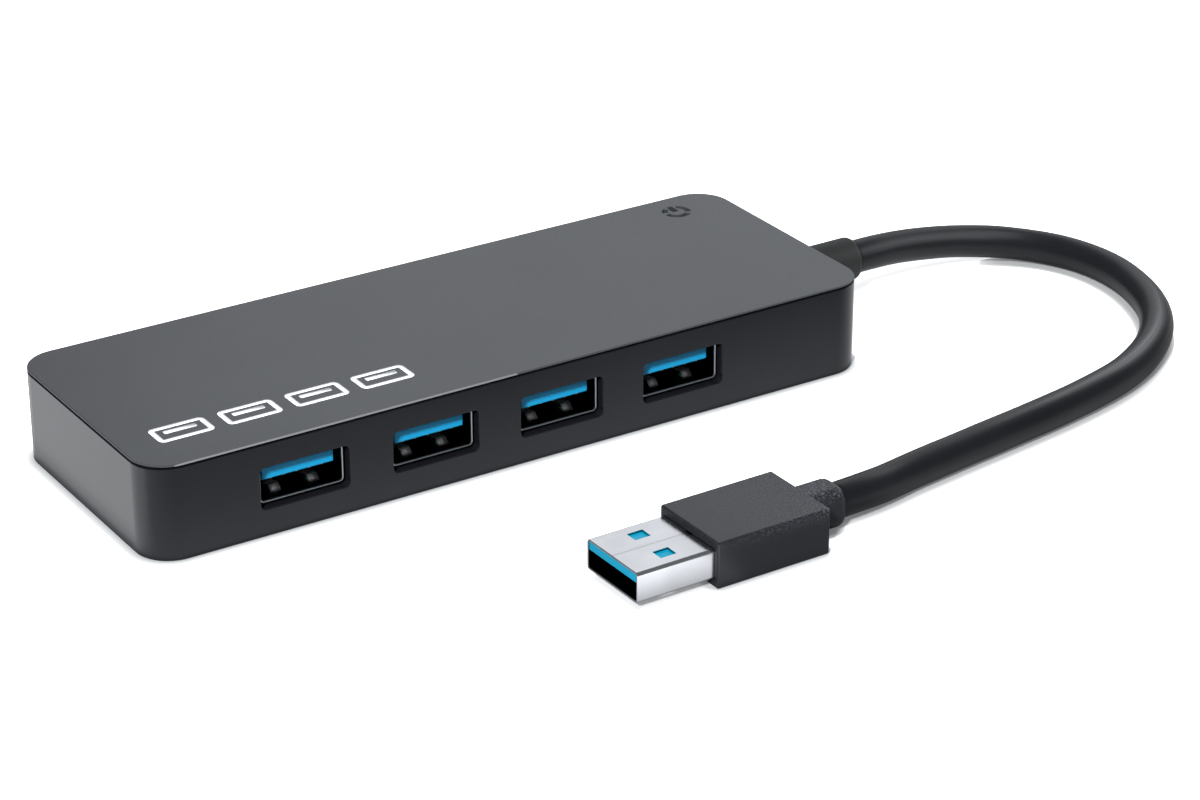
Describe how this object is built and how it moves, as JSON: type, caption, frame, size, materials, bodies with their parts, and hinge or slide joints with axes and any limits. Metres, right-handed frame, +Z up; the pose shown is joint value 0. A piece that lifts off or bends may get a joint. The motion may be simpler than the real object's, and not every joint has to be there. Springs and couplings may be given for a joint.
{
  "type": "usb hub",
  "caption": "Slim desktop USB hub with a row of type A ports on its long side, a power light in the top, and a short captive cable that ends in a type A plug.",
  "frame": {"origin": "centre of the hub's underside, on the surface it stands on, without its free cable and plug", "axes": "+X along the hub's length towards the cable, -Y out of the port openings, +Z up"},
  "size_m": [0.1721, 0.0882, 0.0144],
  "materials": {
    "housing_plastic": "satin black moulding with a faint grain",
    "cover_plastic": "satin charcoal moulding, soft sheen",
    "light_pipe": "clear polycarbonate",
    "circuit_board": "green solder mask",
    "chip_black": "moulded epoxy",
    "bare_steel": "bright nickel plate",
    "led_lens": "clear lens",
    "blue_plastic": "bright blue moulding",
    "gold_contact": "thin gold plate",
    "cable_rubber": "soft black jacket",
    "grip_plastic": "black moulding with a fine texture",
    "wire_red": "coloured wire insulation",
    "wire_black": "coloured wire insulation",
    "wire_white": "coloured wire insulation",
    "wire_green": "coloured wire insulation",
    "wire_blue": "coloured wire insulation",
    "wire_yellow": "coloured wire insulation",
    "wire_orange": "coloured wire insulation",
    "wire_purple": "coloured wire insulation"
  },
  "bodies": {
    "root": {"bottom_housing": "housing_plastic", "top_cover": "cover_plastic", "power_light_pipe": "light_pipe", "circuit_board": "circuit_board", "hub_controller_chip": "chip_black", "crystal": "bare_steel", "voltage_regulator": "chip_black", "power_led": "led_lens", "port_capacitor_1": "bare_steel", "port_fuse_1": "chip_black", "port_shell_1": "bare_steel", "port_insulator_1": "blue_plastic", "port_contact_1_1": "gold_contact", "port_contact_1_2": "gold_contact", "port_contact_1_3": "gold_contact", "port_contact_1_4": "gold_contact", "port_capacitor_2": "bare_steel", "port_fuse_2": "chip_black", "port_shell_2": "bare_steel", "port_insulator_2": "blue_plastic", "port_contact_2_1": "gold_contact", "port_contact_2_2": "gold_contact", "port_contact_2_3": "gold_contact", "port_contact_2_4": "gold_contact", "port_capacitor_3": "bare_steel", "port_fuse_3": "chip_black", "port_shell_3": "bare_steel", "port_insulator_3": "blue_plastic", "port_contact_3_1": "gold_contact", "port_contact_3_2": "gold_contact", "port_contact_3_3": "gold_contact", "port_contact_3_4": "gold_contact", "port_capacitor_4": "bare_steel", "port_fuse_4": "chip_black", "port_shell_4": "bare_steel", "port_insulator_4": "blue_plastic", "port_contact_4_1": "gold_contact", "port_contact_4_2": "gold_contact", "port_contact_4_3": "gold_contact", "port_contact_4_4": "gold_contact", "hub_strain_relief": "cable_rubber", "cable_inner_end": "cable_rubber", "wire_red": "wire_red", "wire_black": "wire_black", "wire_white": "wire_white", "wire_green": "wire_green", "wire_blue": "wire_blue", "wire_yellow": "wire_yellow", "wire_orange": "wire_orange", "wire_purple": "wire_purple", "cable": "cable_rubber", "plug_overmould": "grip_plastic", "plug_shell": "bare_steel", "plug_insulator": "blue_plastic", "plug_contact_1": "gold_contact", "plug_contact_2": "gold_contact", "plug_contact_3": "gold_contact", "plug_contact_4": "gold_contact"}
  },
  "joints": []
}
